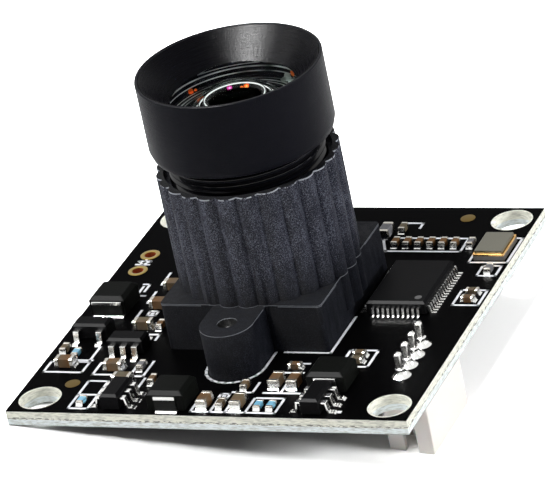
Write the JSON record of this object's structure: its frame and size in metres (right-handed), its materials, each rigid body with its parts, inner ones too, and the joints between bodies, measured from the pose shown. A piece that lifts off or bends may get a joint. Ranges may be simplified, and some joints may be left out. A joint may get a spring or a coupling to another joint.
{
  "type": "board camera module",
  "caption": "Square board camera: a screw-in lens in a fluted plastic holder on a small circuit board, with surface parts on its face and a lead socket under one edge.",
  "frame": {"origin": "centre of the four corner holes, on the underside of the board", "axes": "+Z along the lens axis, out of the board's face; +X along the board's front edge, towards the socket; +Y towards the edge with the crystal"},
  "size_m": [0.032, 0.032, 0.0263],
  "materials": {
    "board": "glossy black solder mask on laminate",
    "holder": "dark grey moulded plastic with a rough grain",
    "barrel": "black anodised, turned",
    "front_ring": "black anodised, fine turned funnel",
    "front_glass": "polished and coated",
    "inner_glass": "polished and coated",
    "filter": "polished, with a pink cast",
    "spacer": "black anodised",
    "sensor_ceramic": "dark ceramic package",
    "sensor_die": "polished silicon",
    "screw_steel": "plated steel",
    "socket": "white moulded nylon",
    "pin_metal": "tin-plated brass",
    "solder": "bright solder",
    "ic_plastic": "black moulded epoxy",
    "tinned_lead": "tin plated",
    "tinned_end": "tin plated",
    "crystal_ceramic": "dark ceramic with a gold rim",
    "crystal_lid": "satin metal lid",
    "inductor": "pressed black ferrite composite",
    "capacitor": "tan ceramic",
    "resistor": "pale blue glaze on ceramic",
    "bead": "grey ferrite"
  },
  "bodies": {
    "board": {"circuit_board": "board", "lens_holder": "holder", "infrared_filter": "filter", "sensor_package": "sensor_ceramic", "sensor_die": "sensor_die", "sensor_cover": "inner_glass", "holder_screws": "screw_steel", "socket_housing": "socket", "socket_pins": "pin_metal", "pin_solder": "solder", "processor_body": "ic_plastic", "processor_leads": "tinned_lead", "regulator_bodies": "ic_plastic", "regulator_leads": "tinned_lead", "crystal_base": "crystal_ceramic", "crystal_lid": "crystal_lid", "inductor_bodies": "inductor", "inductor_feet": "tinned_lead", "capacitor_bodies": "capacitor", "capacitor_ends": "tinned_end", "resistor_bodies": "resistor", "resistor_ends": "tinned_end", "bead_bodies": "bead", "bead_ends": "tinned_end"},
    "optics": {"front_glass": "front_glass", "second_glass": "inner_glass", "third_glass": "inner_glass", "rear_glass": "inner_glass"},
    "barrel": {"lens_barrel": "barrel", "front_ring": "front_ring", "front_spacer": "spacer", "rear_spacer": "spacer", "rear_ring": "spacer"}
  },
  "joints": [
    {"name": "focus_travel", "type": "slide", "parent": "board", "child": "optics", "axis": [0, 0, 1], "range_m": [-0.0005, 0.001]},
    {"name": "lens_turn", "type": "hinge", "parent": "optics", "child": "barrel", "pos_m": [0, 0, 0.0147], "axis": [0, 0, 1], "range_deg": [-361, 721]}
  ],
  "couplings": [
    {"joint": "lens_turn", "follows": "focus_travel", "rad_per_m": 12566}
  ]
}
